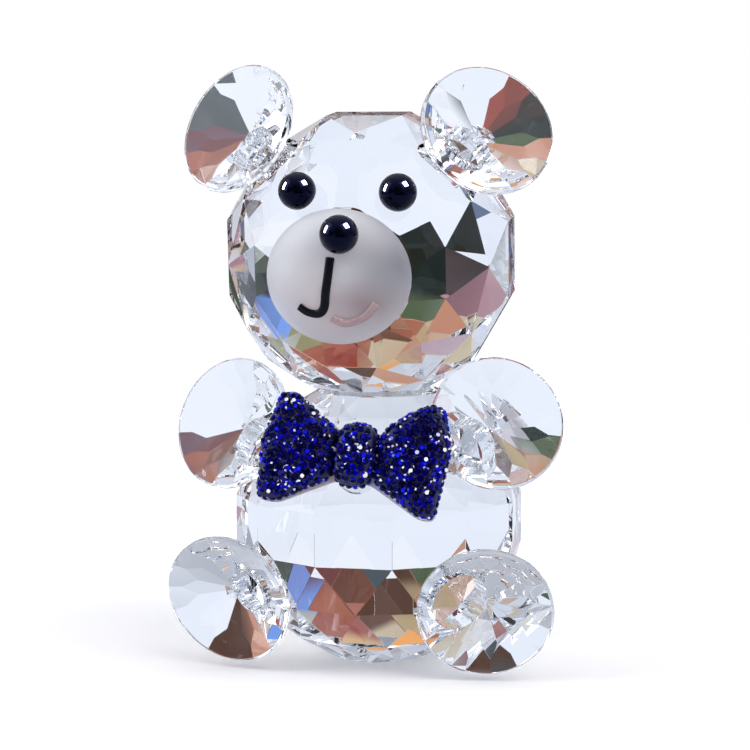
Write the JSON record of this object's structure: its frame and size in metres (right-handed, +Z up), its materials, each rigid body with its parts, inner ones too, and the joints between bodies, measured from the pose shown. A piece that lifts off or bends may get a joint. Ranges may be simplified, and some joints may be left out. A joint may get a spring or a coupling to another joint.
{
  "type": "crystal bear figurine",
  "caption": "Small seated bear built from faceted glass balls and pointed cut glass discs, with black bead eyes and nose and a stone-set bow tie.",
  "frame": {"origin": "centre of the flat under the body ball, on the surface that the bear stands on", "axes": "+Z up, the face looks along -Y, +X is the bear's left side"},
  "size_m": [0.0531, 0.0497, 0.0811],
  "materials": {
    "crystal": "polished flat facets, clear lead-free crystal",
    "frosted_glass": "etched matt dome",
    "black_bead": "polished black bead",
    "black_paint": "raised black enamel line",
    "blush_paint": "thin pale rose enamel line",
    "bow_blue": "royal blue cut stones in blue paste",
    "bow_silver": "bright plated plate",
    "adhesive": "clear cured adhesive"
  },
  "bodies": {
    "root": {"adhesive_arm_left": "adhesive", "adhesive_arm_right": "adhesive", "adhesive_bow": "adhesive", "adhesive_ear_left": "adhesive", "adhesive_ear_right": "adhesive", "adhesive_eye_left": "adhesive", "adhesive_eye_right": "adhesive", "adhesive_leg_left": "adhesive", "adhesive_leg_right": "adhesive", "adhesive_muzzle": "adhesive", "adhesive_neck": "adhesive", "adhesive_nose": "adhesive", "arm_left": "crystal", "arm_right": "crystal", "body_ball": "crystal", "bow_backing_plate": "bow_silver", "bow_knot": "bow_blue", "bow_wing_left": "bow_blue", "bow_wing_right": "bow_blue", "ear_left": "crystal", "ear_right": "crystal", "eye_left": "black_bead", "eye_right": "black_bead", "head_ball": "crystal", "leg_left": "crystal", "leg_right": "crystal", "mouth_line": "black_paint", "muzzle_dome": "frosted_glass", "nose_bead": "black_bead", "smile_line_left": "blush_paint"}
  },
  "joints": []
}
